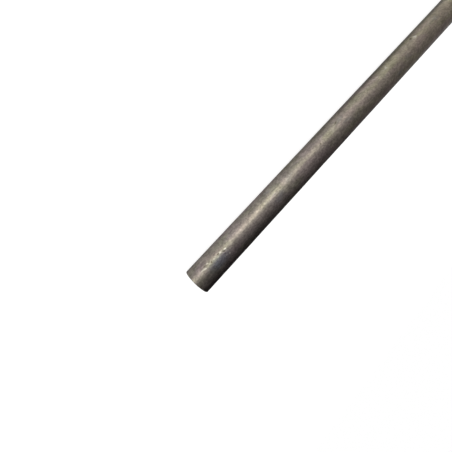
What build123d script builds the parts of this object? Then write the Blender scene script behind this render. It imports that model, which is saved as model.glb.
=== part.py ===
from build123d import *

import os
from math import radians, tan

# Plain round steel bar, cut to a stock length.
#
# The bar is one rolled piece with nothing fitted to it. It lies along X, with its axis
# on the X axis and its middle at the origin. Both ends are cut square, and the sharp rim
# of each cut is broken with a small bevel.
#
# All lengths are in millimetres, and the angle is in degrees.

BAR_DIAMETER = 12.0
BAR_LENGTH = 1000.0
RIM_BEVEL_LENGTH = 0.2  # along the axis
RIM_BEVEL_ANGLE = 45.0  # from the axis

PARTS_FOLDER = "parts"


def half_section():
    """Face between the axis and the bar's outline, in the XY plane."""
    end_x = BAR_LENGTH / 2
    bevel_x = end_x - RIM_BEVEL_LENGTH
    bar_radius = BAR_DIAMETER / 2
    cut_radius = bar_radius - RIM_BEVEL_LENGTH * tan(radians(RIM_BEVEL_ANGLE))
    with BuildSketch(Plane.XY) as section:
        with BuildLine():
            Polyline(
                (-end_x, 0),
                (-end_x, cut_radius),
                (-bevel_x, bar_radius),
                (bevel_x, bar_radius),
                (end_x, cut_radius),
                (end_x, 0),
                close=True,
            )
        make_face()
    return section.sketch


def round_bar():
    """The whole bar, turned about its axis from its half section."""
    with BuildPart() as bar:
        add(half_section())
        revolve(axis=Axis.X)
    return bar.part


os.makedirs(PARTS_FOLDER, exist_ok=True)
export_step(round_bar(), os.path.join(PARTS_FOLDER, "round_bar.step"))
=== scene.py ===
import math

import bpy
import numpy as np
from mathutils import Matrix, Vector


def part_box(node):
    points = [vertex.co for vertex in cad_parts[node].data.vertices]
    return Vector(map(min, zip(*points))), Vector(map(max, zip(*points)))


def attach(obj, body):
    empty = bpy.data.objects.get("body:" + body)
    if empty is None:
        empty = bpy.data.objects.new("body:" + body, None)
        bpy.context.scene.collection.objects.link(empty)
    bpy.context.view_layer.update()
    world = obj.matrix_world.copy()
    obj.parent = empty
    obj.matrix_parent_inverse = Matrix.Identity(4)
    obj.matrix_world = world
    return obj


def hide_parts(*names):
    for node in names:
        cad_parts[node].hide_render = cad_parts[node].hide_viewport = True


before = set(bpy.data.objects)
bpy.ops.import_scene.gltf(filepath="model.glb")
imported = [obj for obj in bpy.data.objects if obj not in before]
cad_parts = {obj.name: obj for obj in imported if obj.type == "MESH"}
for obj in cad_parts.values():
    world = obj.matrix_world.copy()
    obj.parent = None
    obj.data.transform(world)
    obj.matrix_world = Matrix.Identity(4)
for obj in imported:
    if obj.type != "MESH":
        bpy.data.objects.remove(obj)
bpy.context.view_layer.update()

# A plain round steel bar with a dull mill finish, lying on a white studio floor.
#
# The bar lies along X and shows its +X end. The camera looks down at that end from close by,
# over the bar's -Y side. Lengths are in metres. A place on the bar is given by its distance
# from the +X end and its angle about the bar's axis, from straight up towards -Y.

MM = 0.001
SEED = 12

LOW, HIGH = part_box("round_bar")
RADIUS = (HIGH.z - LOW.z) / 2
LENGTH = HIGH.x - LOW.x
NEAR_END = Vector((HIGH.x, 0, 0))
FLOOR_Z = LOW.z

# The camera, fitted to the bar's outline in the photo
LENS = 15.72  # mm, on a 36 mm sensor
LEAN = math.radians(48)  # from straight above the bar towards -Y
CAMERA_FROM_AXIS = 83.0 * MM
CAMERA_ALONG = 15.5 * MM  # from the near end
AIM_ALONG = 24.9 * MM  # where the picture's middle is, from the near end
AIM_ASIDE = 6.95 * MM  # and how far from the axis, towards the bar's lit side
BAR_SLANT = math.radians(46.77)  # of the bar in the picture, up from level

# The studio
FLOOR_GLOW = 0.84
FLOOR_GREY = 0.3
FLAG_DISTANCE = 0.7
FLAG_TOP = LEAN - math.radians(6)  # its upper edge over the near end
FLAG_SPREAD = math.radians(38)  # how much lower its upper edge comes at the far end
LAMP_COLOUR = (1.0, 0.985, 0.90)

# The bar's mesh
SEGMENTS = 144
CROWDING = 0.4  # how much closer together the segments are on the camera's side
SKIN_ALLOWANCE = 0.03 * MM  # how far the rolled skin lies under the nominal radius, on average
SKIN_WAVES = 0.013 * MM
RIM_BEVEL = 0.16 * MM
FACE_RINGS = 24
SKIN_START = 0.4 * MM  # from a cut to the skin's first ring
LONE_NICK_RINGS = np.linspace(-1.5, 1.5, 11) * MM  # about each lone nick
SAW_PITCH = 0.45 * MM  # sets the spacing of the saw marks in the mesh and in the material
SAW_DEPTH = 0.015 * MM

# The flat layout of the bar's surface, on a square of side 1
STRIPS = 5
STRIP_LAP = 4 * MM  # how far a face may reach past its strip
STRIP_SCALE = 1 / (LENGTH / STRIPS + 2 * STRIP_LAP)
STRIP_GAP = 0.004
STRIP_PITCH = 2 * math.pi * RADIUS * STRIP_SCALE + STRIP_GAP
DISC_SIZE = 0.03
DISC_ROOM = 0.069
NEAR_DISC, FAR_DISC = (0.034, 0.034), (0.104, 0.034)

# The materials
SCATTER_START, SCATTER_FULL = 165 * MM, 175 * MM  # from the near end, of the nicks at random
# The nicks' colours: pits are darkened towards the first, as dirt and as painted shade; proud spots and
# lit-side lips are lightened towards the second, as rubbed metal and as painted highlights.
DIRT_AND_SHADE = (0.075, 0.064, 0.048)
RUBBED_AND_HIGHLIGHT = (0.43, 0.413, 0.360)
WAVE_PITCH = 0.314  # of the wave texture at a scale of 1

# Nicks in the skin, which were picked out on the photo. The first two numbers are the
# distance from the near end in mm and the turn about the axis, from the camera's side towards
# the lit side, in degrees. Most of those were worked out from the photo with the camera above.
# The others were set: length, width and depth in mm, and slant of the length from the
# bar's axis in degrees. A depth below 0 is a spot that stands proud, lightened as rubbed metal and as a
# painted highlight; above 0 is a pit, darkened as dirt and as painted shade.
END_NICKS = (
    (5.4, 10.4, 3.6, 1.0, -0.010, -6),
    (6.8, 10.8, 1.9, 1.2, -0.008, -10),
    (7.2, 18.6, 1.8, 0.6, 0.055, -18),
    (8.2, 13.6, 1.4, 0.6, 0.050, -46),
    (8.6, 18.0, 1.0, 0.8, -0.012, 0),
    (10.1, 9.6, 1.2, 0.9, 0.080, 30),
    (11.7, 8.6, 1.3, 0.9, -0.012, 10),
    (12.6, 13.2, 1.2, 0.9, -0.010, -20),
    (13.4, 4.8, 1.1, 0.9, -0.012, 0),
    (14.0, 11.7, 1.1, 0.8, 0.080, -15),
    (15.1, 9.8, 1.1, 0.9, -0.017, 0),
    (16.1, -7.2, 1.1, 0.9, 0.050, 10),
    (16.2, -13.0, 1.0, 0.8, -0.016, 0),
    (16.6, 2.6, 1.4, 0.9, 0.075, -30),
    (17.4, 6.6, 1.1, 0.9, -0.020, 0),
    (17.5, -17.8, 1.1, 0.9, -0.018, 10),
    (18.3, -2.0, 1.0, 0.8, 0.040, 0),
)
LONE_NICKS = (
    (37.8, 12.0, 1.6, 0.8, -0.006, 0),
    (52.4, 27.0, 1.2, 0.8, 0.020, 15),
    (72.0, -34.0, 1.8, 1.2, 0.045, 0),
    (77.4, 9.3, 1.5, 1.1, 0.060, 20),
    (89.8, 24.6, 2.6, 1.2, 0.055, 0),
    (108.2, 30.0, 1.6, 1.8, -0.007, 0),
    (113.5, 33.5, 1.4, 1.8, -0.008, 0),
    (118.6, 32.5, 1.1, 1.7, -0.011, 0),
    (120.4, 30.0, 1.1, 1.6, -0.010, 0),
    (125.0, 28.0, 2.6, 1.8, -0.007, 0),
    (127.4, 28.5, 2.2, 2.3, -0.011, 0),
    (142.4, 27.5, 1.6, 2.0, -0.007, 0),
    (148.7, 36.0, 2.2, 1.7, 0.100, 165),
    (150.0, 30.0, 2.2, 2.6, -0.012, 0),
)

# Faint tints and tones of the skin, in the same terms: distance, turn, length, width, and what
# the colour is multiplied by in the middle.
SKIN_SPOTS = (
    (12.5, -12.0, 12.0, 4.5, (0.80, 0.93, 1.06)),
    (9.0, 30.0, 12.0, 3.0, (1.03, 0.96, 1.03)),
    (14.5, 19.0, 8.0, 2.5, (1.03, 0.96, 1.03)),
    (34.0, 24.0, 20.0, 6.0, (1.14, 1.13, 1.10)),
    (68.0, 10.0, 18.0, 4.0, (0.85, 0.85, 0.85)),
)


def around(angle):
    """Unit vector square to the bar, at an angle from straight up towards -Y."""
    return Vector((0, -math.sin(angle), math.cos(angle)))


# ---------------------------------------------------------------- the bar's shape


def ring_distances():
    """Distances from the near end at which the skin has a ring of points.

    The rings are close together near the shown end and at the nicks, and far apart in the
    plain middle.
    """
    stretches = (  # up to this distance from the near end, rings this far apart
        (25 * MM, 0.2 * MM),
        (50 * MM, 0.5 * MM),
        (185 * MM, 1.5 * MM),
        (960 * MM, 6 * MM),
        (LENGTH - SKIN_START, 1 * MM),
    )
    distances, start = [], SKIN_START
    for stop, spacing in stretches:
        count = round((stop - start) / spacing)
        distances.extend(np.linspace(start, stop, count, endpoint=False))
        start = stop
    distances.append(start)
    for nick in LONE_NICKS:
        distances.extend(nick[0] * MM + LONE_NICK_RINGS)
    distances = np.sort(distances)
    closest = 0.08 * MM
    return distances[np.diff(distances, append=1) > closest]


def segment_angles():
    """The segments' angles, closer together on the side that the camera sees."""
    even = np.linspace(0, 2 * math.pi, SEGMENTS, endpoint=False)
    return LEAN + even - CROWDING * np.sin(even)


def waviness(distance, angle):
    """Gentle unevenness of the rolled skin, about one in size each way."""
    rng = np.random.default_rng(SEED)
    total = np.zeros(np.broadcast(distance, angle).shape)
    for wavelength, lobes in ((70, 1), (31, 2), (17, 3), (11, 2), (9, 4), (6.5, 5), (5, 7)):
        along = 2 * math.pi * distance / (wavelength * MM) + rng.uniform(0, 6.28)
        total += np.cos(along) * np.cos(lobes * angle + rng.uniform(0, 6.28)) / 3
    return total


def nick_marks(distance, angle):
    """How deep the nicks go there, and their colour change: -1 in a pit darkened as dirt and as painted
    shade, 1 on a spot lightened as rubbed metal and as a painted highlight.
    """
    depth = np.zeros(np.broadcast(distance, angle).shape)
    wear_and_painted_light = np.zeros_like(depth)
    for along, turn, length, width, deep, slant in END_NICKS + LONE_NICKS:
        x = distance - along * MM
        off = np.remainder(angle - LEAN - math.radians(turn) + math.pi, 2 * math.pi) - math.pi
        y = RADIUS * off
        lean = math.radians(slant)
        p = (x * math.cos(lean) + y * math.sin(lean)) / (length / 2 * MM)
        q = (y * math.cos(lean) - x * math.sin(lean)) / (width / 2 * MM)
        p, q = p + 0.3 * np.sin(4 * q + along), q + 0.3 * np.sin(3 * p + 2 * along)
        inside = np.exp(-1.5 * (p * p + q * q))
        # The lip rises on the pit's lit side only. A pit's inside is darkened, as dirt and as painted
        # shade, and its lip is lightened, as rubbed metal and as a painted highlight; a proud spot is
        # lightened, as rubbed metal and as a painted highlight.
        lip = np.exp(-4 * (np.hypot(p, q) - 1.5) ** 2) * (0.5 + 0.5 * np.tanh(2 * q))
        if deep > 0:
            depth += deep * MM * (inside - 0.2 * lip)
            wear_and_painted_light += min(deep / 0.08, 1) * (0.35 * lip - inside)
        else:
            depth += deep * MM * inside
            wear_and_painted_light += min(-deep / 0.02, 1) * inside
    return depth, np.clip(wear_and_painted_light, -1, 1)


def skin_radius(distance, angle):
    """Radius of the rolled skin at a distance from the near end and an angle."""
    depth, _ = nick_marks(distance, angle)
    radius = RADIUS - SKIN_ALLOWANCE + SKIN_WAVES * waviness(distance, angle) - depth
    return np.minimum(radius, RADIUS)


def bar_points():
    """Rings of points from the near end's middle to the far end's, and which ring is what."""
    angle = segment_angles()
    rings = []  # of (distance from the near end, radius), each an array over the angles

    face_radii = np.linspace(0, 1, FACE_RINGS + 1)[1:]
    bevel = RIM_BEVEL * (1 + 0.25 * np.cos(2 * angle + 1) + 0.15 * np.cos(5 * angle))
    first_skin = ring_distances()[0]
    rim = skin_radius(first_skin, angle)
    for share in face_radii:
        radius = (rim - bevel) * share
        rings.append((saw_marks(radius, angle), radius))
    for turn in (0.35, 0.7, 1.0):
        out = math.sin(turn * math.pi / 2)
        rings.append((bevel * turn ** 1.5, rim - bevel * (1 - out)))
    for distance in ring_distances():
        rings.append((np.full(SEGMENTS, distance), skin_radius(distance, angle)))
    last_rim = skin_radius(ring_distances()[-1], angle)
    for turn in (1.0, 0.7, 0.35):
        out = math.sin(turn * math.pi / 2)
        rings.append((LENGTH - bevel * turn ** 1.5, last_rim - bevel * (1 - out)))
    for share in face_radii[::-1]:
        radius = (last_rim - bevel) * share
        rings.append((LENGTH - saw_marks(radius, angle + 0.6), radius))
    return angle, rings


def unrolled(angle, rings):
    """Where the faces' corners lie on a flat square, in build_bar's order, for baking.

    The skin lies in strips, one above another, and the cut ends are discs below them.
    """
    turn = np.append(angle, angle[0] + 2 * math.pi)
    compass = np.column_stack((np.cos(turn), np.sin(turn)))
    middle = np.array([(distance.mean(), radius.mean()) for distance, radius in rings])
    path = np.append(0, np.cumsum(np.hypot(*np.diff(middle, axis=0).T)))
    path -= path[FACE_RINGS - 1]
    last = len(rings) - 1

    def on_disc(ring, centre):
        return np.array(centre) + DISC_SIZE * middle[ring, 1] / RADIUS * compass

    def on_strip(ring, strip):
        along = (path[ring] - strip * LENGTH / STRIPS + STRIP_LAP) * STRIP_SCALE
        across = (turn - turn[0]) * RADIUS * STRIP_SCALE
        return np.column_stack((np.full(SEGMENTS + 1, along), across + DISC_ROOM + strip * STRIP_PITCH))

    def fan(ring, centre, order):
        rim = on_disc(ring, centre)
        corners = {"tip": np.tile(centre, (SEGMENTS, 1)), "this": rim[:-1], "next": rim[1:]}
        return np.stack([corners[name] for name in order], axis=1).ravel()

    places = [fan(0, NEAR_DISC, ("tip", "this", "next"))]
    for ring in range(last):
        if ring < FACE_RINGS - 1:
            here, there = on_disc(ring, NEAR_DISC), on_disc(ring + 1, NEAR_DISC)
        elif ring > last - FACE_RINGS:
            here, there = on_disc(ring, FAR_DISC), on_disc(ring + 1, FAR_DISC)
        else:
            half_way = (path[ring] + path[ring + 1]) / 2
            strip = min(int(half_way / LENGTH * STRIPS), STRIPS - 1)
            here, there = on_strip(ring, strip), on_strip(ring + 1, strip)
        places.append(np.stack((here[:-1], there[:-1], there[1:], here[1:]), axis=1).ravel())
    places.append(fan(last, FAR_DISC, ("next", "this", "tip")))
    return np.concatenate(places)


def wear_and_painted_light_of(points):
    """The nicks' colour change at each of the bar's points: dirt and painted shade in pits, rubbed metal
    and painted highlights on proud spots and lit-side lips.
    """
    x, y, z = np.array(points, dtype=float).T
    _, wear_and_painted_light = nick_marks(HIGH.x - x, np.arctan2(-y, z))
    on_skin = np.hypot(y, z) > 0.9 * RADIUS
    return np.where(on_skin, wear_and_painted_light, 0)


def saw_marks(radius, angle):
    """How deep the cut face lies under its highest points."""
    across = radius * np.cos(angle)
    ridges = 0.5 + 0.5 * np.cos(math.pi * across / SAW_PITCH + 2 * np.sin(3 * angle))
    return SAW_DEPTH * ridges


def build_bar():
    """The whole bar as one closed mesh."""
    angle, rings = bar_points()
    points = [(HIGH.x, 0, 0)]
    for distance, radius in rings:
        points.extend(
            zip(HIGH.x - distance, -radius * np.sin(angle), radius * np.cos(angle))
        )
    points.append((LOW.x, 0, 0))

    def corner(ring, segment):
        return 1 + ring * SEGMENTS + segment % SEGMENTS

    faces = [(0, corner(0, i), corner(0, i + 1)) for i in range(SEGMENTS)]
    for ring in range(len(rings) - 1):
        for i in range(SEGMENTS):
            faces.append(
                (corner(ring, i), corner(ring + 1, i), corner(ring + 1, i + 1), corner(ring, i + 1))
            )
    last, tip = len(rings) - 1, len(points) - 1
    faces.extend((corner(last, i + 1), corner(last, i), tip) for i in range(SEGMENTS))

    mesh = bpy.data.meshes.new("bar")
    mesh.from_pydata(points, [], faces)
    mesh.shade_smooth()
    mesh.set_sharp_from_angle(angle=math.radians(35))
    cut_faces = np.zeros(len(faces), dtype=np.int32)
    near_cut = SEGMENTS * FACE_RINGS
    cut_faces[:near_cut] = 1
    cut_faces[-near_cut:] = 1
    mesh.polygons.foreach_set("material_index", cut_faces)
    mesh.attributes.new("wear_and_painted_light", "FLOAT", "POINT").data.foreach_set("value", wear_and_painted_light_of(points))
    mesh.uv_layers.new(name="OFBake").data.foreach_set("uv", unrolled(angle, rings))
    bar = bpy.data.objects.new("bar", mesh)
    bpy.context.scene.collection.objects.link(bar)
    return bar


# ---------------------------------------------------------------- materials


class Nodes:
    """Short hand for a material's node tree."""

    def __init__(self, material):
        material.use_nodes = True
        self.tree = material.node_tree
        self.tree.nodes.clear()

    def add(self, kind, inputs=None, **settings):
        """A node of that kind, with its settings and its inputs set or linked."""
        node = self.tree.nodes.new(kind)
        for name, value in settings.items():
            setattr(node, name, value)
        for name, value in (inputs or {}).items():
            if isinstance(value, bpy.types.NodeSocket):
                self.tree.links.new(value, node.inputs[name])
            else:
                node.inputs[name].default_value = value
        return node

    def noise(self, size, stretch=1, detail=2.0, roughness=0.5, distortion=0.0):
        """Noise whose patches are about size across, and stretch times as long along the bar."""
        place = self.add("ShaderNodeTexCoord").outputs["Object"]
        scaled = self.add("ShaderNodeMapping", {"Vector": place, "Scale": (1 / stretch, 1, 1)})
        return self.add(
            "ShaderNodeTexNoise",
            {
                "Vector": scaled.outputs["Vector"],
                "Scale": 1 / size,
                "Detail": detail,
                "Roughness": roughness,
                "Distortion": distortion,
            },
        ).outputs["Fac"]

    def spot(self, along, turn, length, width):
        """1 in a soft spot on the skin, in the nicks' terms, and 0 away from it."""
        centre = NEAR_END + around(LEAN + math.radians(turn)) * RADIUS - Vector((along * MM, 0, 0))
        sharp = Vector((2 / (length * MM), 2 / (width * MM), 2 / (width * MM)))
        place = self.add("ShaderNodeTexCoord").outputs["Object"]
        back = self.add("ShaderNodeVectorMath", {0: place, 1: centre}, operation="SUBTRACT").outputs[0]
        away = self.add("ShaderNodeVectorMath", {0: back, 1: sharp}, operation="MULTIPLY").outputs[0]
        far = self.add("ShaderNodeVectorMath", {0: away}, operation="LENGTH").outputs["Value"]
        return self.spread(far, 1.3, 0.2)

    def spread(self, value, low, high, to_low=0.0, to_high=1.0):
        """value from low..high to to_low..to_high, smoothly and no further."""
        return self.add(
            "ShaderNodeMapRange",
            {"Value": value, "From Min": low, "From Max": high, "To Min": to_low, "To Max": to_high},
            interpolation_type="SMOOTHSTEP",
        ).outputs["Result"]

    def mix(self, share, one, other, blend="MIX"):
        """Colour between one and other."""
        node = self.add("ShaderNodeMix", {"Factor": share}, data_type="RGBA", blend_type=blend)
        for socket, value in ((node.inputs[6], one), (node.inputs[7], other)):
            if isinstance(value, bpy.types.NodeSocket):
                self.tree.links.new(value, socket)
            else:
                socket.default_value = (*value, 1)
        return node.outputs[2]

    def scale(self, colour, factor):
        """A colour times a factor."""
        return self.add(
            "ShaderNodeVectorMath", {0: colour, "Scale": factor}, operation="SCALE"
        ).outputs["Vector"]

    def scattered_nicks(self):
        """Colour change of small round nicks, at random over the bar except on its shown stretch: pits
        darkened as dirt and as painted shade, rims lightened as rubbed metal.
        """
        place = self.add("ShaderNodeTexCoord").outputs["Object"]
        wobble = self.add("ShaderNodeTexNoise", {"Vector": place, "Scale": 1 / (0.8 * MM)}).outputs["Color"]
        bent = self.add("ShaderNodeVectorMath", {0: place, 1: self.scale(wobble, 1.5 * MM)})
        cells = self.add("ShaderNodeTexVoronoi", {"Vector": bent.outputs[0], "Scale": 1 / (9 * MM)})
        away = cells.outputs["Distance"]
        pits = self.spread(away, 0.075, 0.03, 0.0, -1.0)
        rims = self.spread(away, 0.12, 0.08, 0.0, 0.3)
        along = self.add("ShaderNodeSeparateXYZ", {0: place}).outputs["X"]
        both = self.add("ShaderNodeMath", {0: pits, 1: rims}, operation="ADD").outputs[0]
        return self.times(both, self.spread(along, HIGH.x - SCATTER_START, HIGH.x - SCATTER_FULL))

    def times(self, one, other):
        """Two numbers multiplied."""
        return self.add("ShaderNodeMath", {0: one, 1: other}, operation="MULTIPLY").outputs[0]

    def plus(self, one, other):
        """Two numbers added, and no more than 1."""
        both = self.add("ShaderNodeMath", {0: one, 1: other}, operation="ADD", use_clamp=True)
        return both.outputs[0]

    def bump(self, height, depth, normal=None):
        """A normal from a height of 0 to 1 that stands for that depth."""
        inputs = {"Height": height, "Distance": depth}
        if normal:
            inputs["Normal"] = normal
        return self.add("ShaderNodeBump", inputs).outputs["Normal"]


def mill_skin():
    """Burnished mill finish: warm dark grey with faint heat tints, pits, streaks and grain. The nicks' pits
    are darkened, as dirt and as painted shade, and their proud spots and lit-side lips are lightened, as
    rubbed metal and as painted highlights.
    """
    material = bpy.data.materials.new("mill_skin")
    n = Nodes(material)
    warm, pink, olive, blue = (
        (0.191, 0.169, 0.140), (0.195, 0.165, 0.146), (0.186, 0.172, 0.130), (0.177, 0.169, 0.153)
    )
    colour = n.mix(n.spread(n.noise(5 * MM, 3), 0.42, 0.62), warm, pink)
    colour = n.mix(n.spread(n.noise(4.6 * MM, 3), 0.46, 0.66), colour, olive)
    colour = n.mix(n.spread(n.noise(5 * MM, 2.5), 0.58, 0.78), colour, blue)
    for along, turn, length, width, tint in SKIN_SPOTS:
        colour = n.mix(n.spot(along, turn, length, width), colour, tint, "MULTIPLY")
    tone = n.spread(n.noise(0.7 * MM, 1.3), 0.3, 0.7, 0.79, 1.21)
    tone = n.times(tone, n.spread(n.noise(2.4 * MM, 1.6), 0.3, 0.7, 0.88, 1.12))
    tone = n.times(tone, n.spread(n.noise(0.4 * MM, 30, detail=3), 0.3, 0.7, 0.94, 1.06))
    tone = n.times(tone, n.spread(n.noise(1.4 * MM), 0.64, 0.76, 1.0, 0.72))
    tone = n.times(tone, n.spread(n.noise(1.3 * MM), 0.24, 0.36, 1.25, 1.0))
    place = n.add("ShaderNodeSeparateXYZ", {0: n.add("ShaderNodeTexCoord").outputs["Object"]})
    near_end = n.spread(place.outputs["X"], HIGH.x - 190 * MM, HIGH.x - 10 * MM)
    age = n.mix(near_end, (1.0, 1.0, 0.93), (0.99, 1.0, 1.06))
    colour = n.mix(1.0, colour, age, "MULTIPLY")
    # Darkens the nicks' pits, as dirt and as painted shade, and lightens their proud spots and lit-side
    # lips, as rubbed metal and as painted highlights.
    wear_and_painted_light = n.add("ShaderNodeAttribute", attribute_name="wear_and_painted_light").outputs["Fac"]
    wear_and_painted_light = n.add("ShaderNodeMath", {0: wear_and_painted_light, 1: n.scattered_nicks()}, operation="ADD").outputs[0]
    colour = n.mix(n.spread(wear_and_painted_light, -0.15, -0.8), n.scale(colour, tone), DIRT_AND_SHADE)
    colour = n.mix(n.spread(wear_and_painted_light, 0.1, 0.9), colour, RUBBED_AND_HIGHLIGHT)
    peel = n.bump(n.noise(2.6 * MM, 1.6), 0.012 * MM)
    grain = n.bump(n.noise(0.7 * MM, 1.3), 0.006 * MM, peel)
    shader = n.add(
        "ShaderNodeBsdfPrincipled",
        {
            "Base Color": colour,
            "Metallic": 1.0,
            "Roughness": n.spread(n.noise(1.2 * MM, 2), 0.3, 0.7, 0.3, 0.4),
            "Normal": grain,
        },
    )
    shader.inputs["Specular Tint"].default_value = (0.45, 0.45, 0.45, 1)
    n.add("ShaderNodeOutputMaterial", {"Surface": shader.outputs[0]})
    return material


def cut_steel():
    """Sawn steel: lighter grey, with the blade's fine marks straight across it."""
    material = bpy.data.materials.new("cut_steel")
    n = Nodes(material)
    place = n.add("ShaderNodeTexCoord").outputs["Object"]
    strokes = {"Vector": place, "Scale": WAVE_PITCH / SAW_PITCH, "Distortion": 3.0, "Detail": 3.0}
    marks = n.add("ShaderNodeTexWave", strokes, bands_direction="Z").outputs["Fac"]
    colour = n.mix(n.noise(1.5 * MM), (0.29, 0.28, 0.26), (0.38, 0.37, 0.35))
    colour = n.scale(colour, n.spread(marks, 0.1, 0.9, 0.86, 1.08))
    shader = n.add(
        "ShaderNodeBsdfPrincipled",
        {
            "Base Color": colour,
            "Metallic": 1.0,
            "Roughness": n.spread(n.noise(0.8 * MM), 0.3, 0.7, 0.32, 0.46),
            "Normal": n.bump(marks, 0.006 * MM),
        },
    )
    n.add("ShaderNodeOutputMaterial", {"Surface": shader.outputs[0]})
    return material


# ---------------------------------------------------------------- the studio


def white_floor():
    """A white floor that stays white in the picture and keeps the bar's shadow."""
    bpy.ops.mesh.primitive_plane_add(size=20, location=(0, 0, FLOOR_Z))
    floor = bpy.context.object
    floor.name = "floor"
    material = bpy.data.materials.new("white_floor")
    n = Nodes(material)
    rays = n.add("ShaderNodeLightPath").outputs
    seen = n.plus(n.plus(rays["Is Camera Ray"], rays["Is Glossy Ray"]), rays["Is Transmission Ray"])
    glow = n.add("ShaderNodeEmission", {"Strength": n.times(seen, FLOOR_GLOW)})
    paint = n.add("ShaderNodeBsdfDiffuse", {"Color": (FLOOR_GREY, FLOOR_GREY, FLOOR_GREY, 1)})
    both = n.add("ShaderNodeAddShader", {0: paint.outputs[0], 1: glow.outputs[0]})
    n.add("ShaderNodeOutputMaterial", {"Surface": both.outputs[0]})
    floor.data.materials.append(material)


def reflected_card(name, rows, tones, colour):
    """A card that only the metal's gloss sees. rows are its rows of points, one tone a point."""
    columns = len(rows[0])
    faces = []
    for i in range(len(rows) - 1):
        for j in range(columns - 1):
            corner = i * columns + j
            faces.append((corner, corner + 1, corner + columns + 1, corner + columns))
    mesh = bpy.data.meshes.new(name)
    mesh.from_pydata([point for row in rows for point in row], [], faces)
    mesh.attributes.new("tone", "FLOAT", "POINT").data.foreach_set("value", tones)
    card = bpy.data.objects.new(name, mesh)
    bpy.context.scene.collection.objects.link(card)
    material = bpy.data.materials.new(name)
    n = Nodes(material)
    level = n.add("ShaderNodeAttribute", attribute_name="tone").outputs["Fac"]
    glow = n.add("ShaderNodeEmission", {"Color": (*colour, 1), "Strength": level})
    n.add("ShaderNodeOutputMaterial", {"Surface": glow.outputs[0]})
    mesh.materials.append(material)
    card.visible_camera = card.visible_diffuse = card.visible_shadow = False


def dark_flag():
    """A curved dark card over the bar and its +Y side, as metal is lit in a studio.

    It gives the bar its dark side. It curves down from its upper edge to the floor, and comes
    in along the floor to beside the bar, where it is painted shadow: the bar's shadow on the floor, as the
    gloss sees it.
    """
    steps, foot = 48, math.radians(-90)
    lift = Vector((0, 0, FLOOR_Z + 0.2 * MM))
    lengthwise = np.linspace(HIGH.x + 0.6, LOW.x - 0.9, 40)
    rows, tones = [], []
    for i in range(steps + 1):
        share = i / steps
        row = []
        for x in lengthwise:
            edge = FLAG_TOP + FLAG_SPREAD * ramp(x, 0.2, 1.3)
            row.append(Vector((x, 0, 0)) + lift + around(edge + (foot - edge) * share) * FLAG_DISTANCE)
            tones.append(flag_tone(share, x))
        rows.append(row)
    # The rows on the floor are painted shadow of the bar on the floor, seen only in the gloss.
    for y, pale in ((0.1, 0.1), (0.015, 0.2)):  # the rows on the floor, paler towards the bar
        rows.append([Vector((x, y, 0)) + lift for x in lengthwise])
        tones.extend(flag_tone(1, x) * 3 + pale for x in lengthwise)
    reflected_card("dark_flag", rows, tones, (1.02, 0.97, 1.03))


def ramp(x, start, stop):
    """0 up to a distance start from the near end, rising to 1 at stop."""
    return min(max((HIGH.x - x - start) / (stop - start), 0), 1)


def flag_tone(share, x):
    """How light the flag is, from 0 at its upper edge to 1 at its foot, and along the bar."""
    top = 0.54 + 0.7 * ramp(x, 0.05, 0.42)
    foot = 0.01 + 0.5 * ramp(x, 0, 1.4) ** 1.6
    fall = 2.1 + 1.5 * ramp(x, 0.2, 0.7)
    rim = 0.07 * ramp(x, -0.1, 0.12) + 0.9 * ramp(x, 0.6, 1.4)
    return foot + (top - foot) * (1 - share) ** fall + rim * share ** 6


def floor_card():
    """A glowing card on the floor along the bar's lit side, seen only in the gloss: white, and grey right
    beside the bar, where the grey is painted shadow of the bar on the floor.
    """
    z = FLOOR_Z + 0.05 * MM
    distances = (-0.05, 0.04, 0.12, 0.2, LENGTH)  # of its columns, from the near end
    # The grey tones are painted shadow, the bar's shadow on the floor beside it; the white tones glow
    # brighter than the floor, as light.
    white, grey = (0.95, 1.15, 1.4, 1.8, 1.8), (0.78, 1.02, 0.54, 0.66, 0.72)
    edges = (12.0, 11.0, 9.8, 9.8, 9.8)  # how far from the axis the grey reaches, in mm
    outer, inner, blend = 80 * MM, 1.5 * MM, 0.8  # blend is in mm, from grey to white
    rows = [[(HIGH.x - along, -outer, z) for along in distances]]
    for beyond in (blend, 0):
        rows.append([(HIGH.x - a, -(e + beyond) * MM, z) for a, e in zip(distances, edges)])
    rows.append([(HIGH.x - along, -inner, z) for along in distances])
    reflected_card("floor_card", rows, white * 2 + grey * 2, (0.98, 0.98, 1.0))


def white_world():
    """A plain white surround."""
    world = bpy.data.worlds.new("studio")
    bpy.context.scene.world = world
    world.use_nodes = True
    background = world.node_tree.nodes["Background"]
    background.inputs["Color"].default_value = (1, 1, 1, 1)
    background.inputs["Strength"].default_value = 1.0


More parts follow.
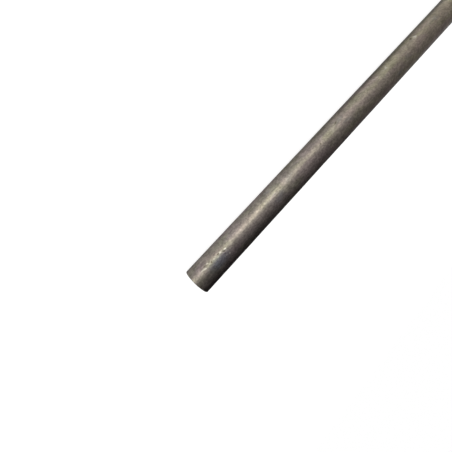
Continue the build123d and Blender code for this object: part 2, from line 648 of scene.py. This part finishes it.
def soft_light(name, angle, distance, length, width, glow, centre_x, skew=0.0):
    """A rectangular soft light beside the bar, facing it. glow is how bright its face looks.

    skew turns its far end further towards the lit side.
    """
    data = bpy.data.lights.new(name, "AREA")
    data.shape = "RECTANGLE"
    data.size, data.size_y = length, width
    data.energy = glow * math.pi * length * width
    data.color = LAMP_COLOUR
    light = bpy.data.objects.new(name, data)
    bpy.context.scene.collection.objects.link(light)
    back = around(angle)
    side = Matrix.Rotation(skew, 3, back) @ Vector((1, 0, 0))
    light.location = Vector((centre_x, 0, 0)) + back * distance
    light.rotation_mode = "QUATERNION"
    light.rotation_quaternion = Matrix((side, back.cross(side), back)).transposed().to_quaternion()
    light.visible_camera = False


def lights():
    """The key strip, whose reflection is the bright line along the bar, and two fills."""
    soft_light(
        "key", angle=LEAN + math.radians(23), distance=0.6,
        length=0.38, width=0.1, glow=3.1, centre_x=HIGH.x - 0.24,
    )
    soft_light(
        "fill", angle=LEAN + math.radians(26.5), distance=0.66,
        length=1.1, width=0.5, glow=1.35, centre_x=HIGH.x - 0.2, skew=math.radians(8),
    )
    soft_light(
        "far_fill", angle=LEAN + math.radians(58), distance=0.66,
        length=1.9, width=0.5, glow=1.0, centre_x=HIGH.x - 1.15,
    )


def aim_camera():
    """The camera, close over the near end, with the bar slanting up to the right."""
    data = bpy.data.cameras.new("camera")
    data.sensor_width, data.lens = 36, LENS
    data.clip_start = 10 * MM
    camera = bpy.data.objects.new("camera", data)
    bpy.context.scene.collection.objects.link(camera)
    bpy.context.scene.camera = camera

    up_bar = Vector((-1, 0, 0))  # from the near end to the far one
    towards = around(LEAN)
    lit_side = towards.cross(up_bar)
    camera.location = NEAR_END + up_bar * CAMERA_ALONG + towards * CAMERA_FROM_AXIS
    aim = NEAR_END + up_bar * AIM_ALONG + lit_side * AIM_ASIDE
    back = (camera.location - aim).normalized()
    bar_in_picture = (up_bar - back * up_bar.dot(back)).normalized()
    square_to_bar = back.cross(bar_in_picture)
    right = bar_in_picture * math.cos(BAR_SLANT) - square_to_bar * math.sin(BAR_SLANT)
    up = bar_in_picture * math.sin(BAR_SLANT) + square_to_bar * math.cos(BAR_SLANT)
    camera.rotation_mode = "QUATERNION"
    camera.rotation_quaternion = Matrix((right, up, back)).transposed().to_quaternion()


bar = build_bar()
bar.data.materials.append(mill_skin())
bar.data.materials.append(cut_steel())
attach(bar, "root")
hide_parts("round_bar")

white_floor()
dark_flag()
floor_card()
white_world()
lights()
aim_camera()
bpy.context.scene.view_settings.view_transform = "Standard"
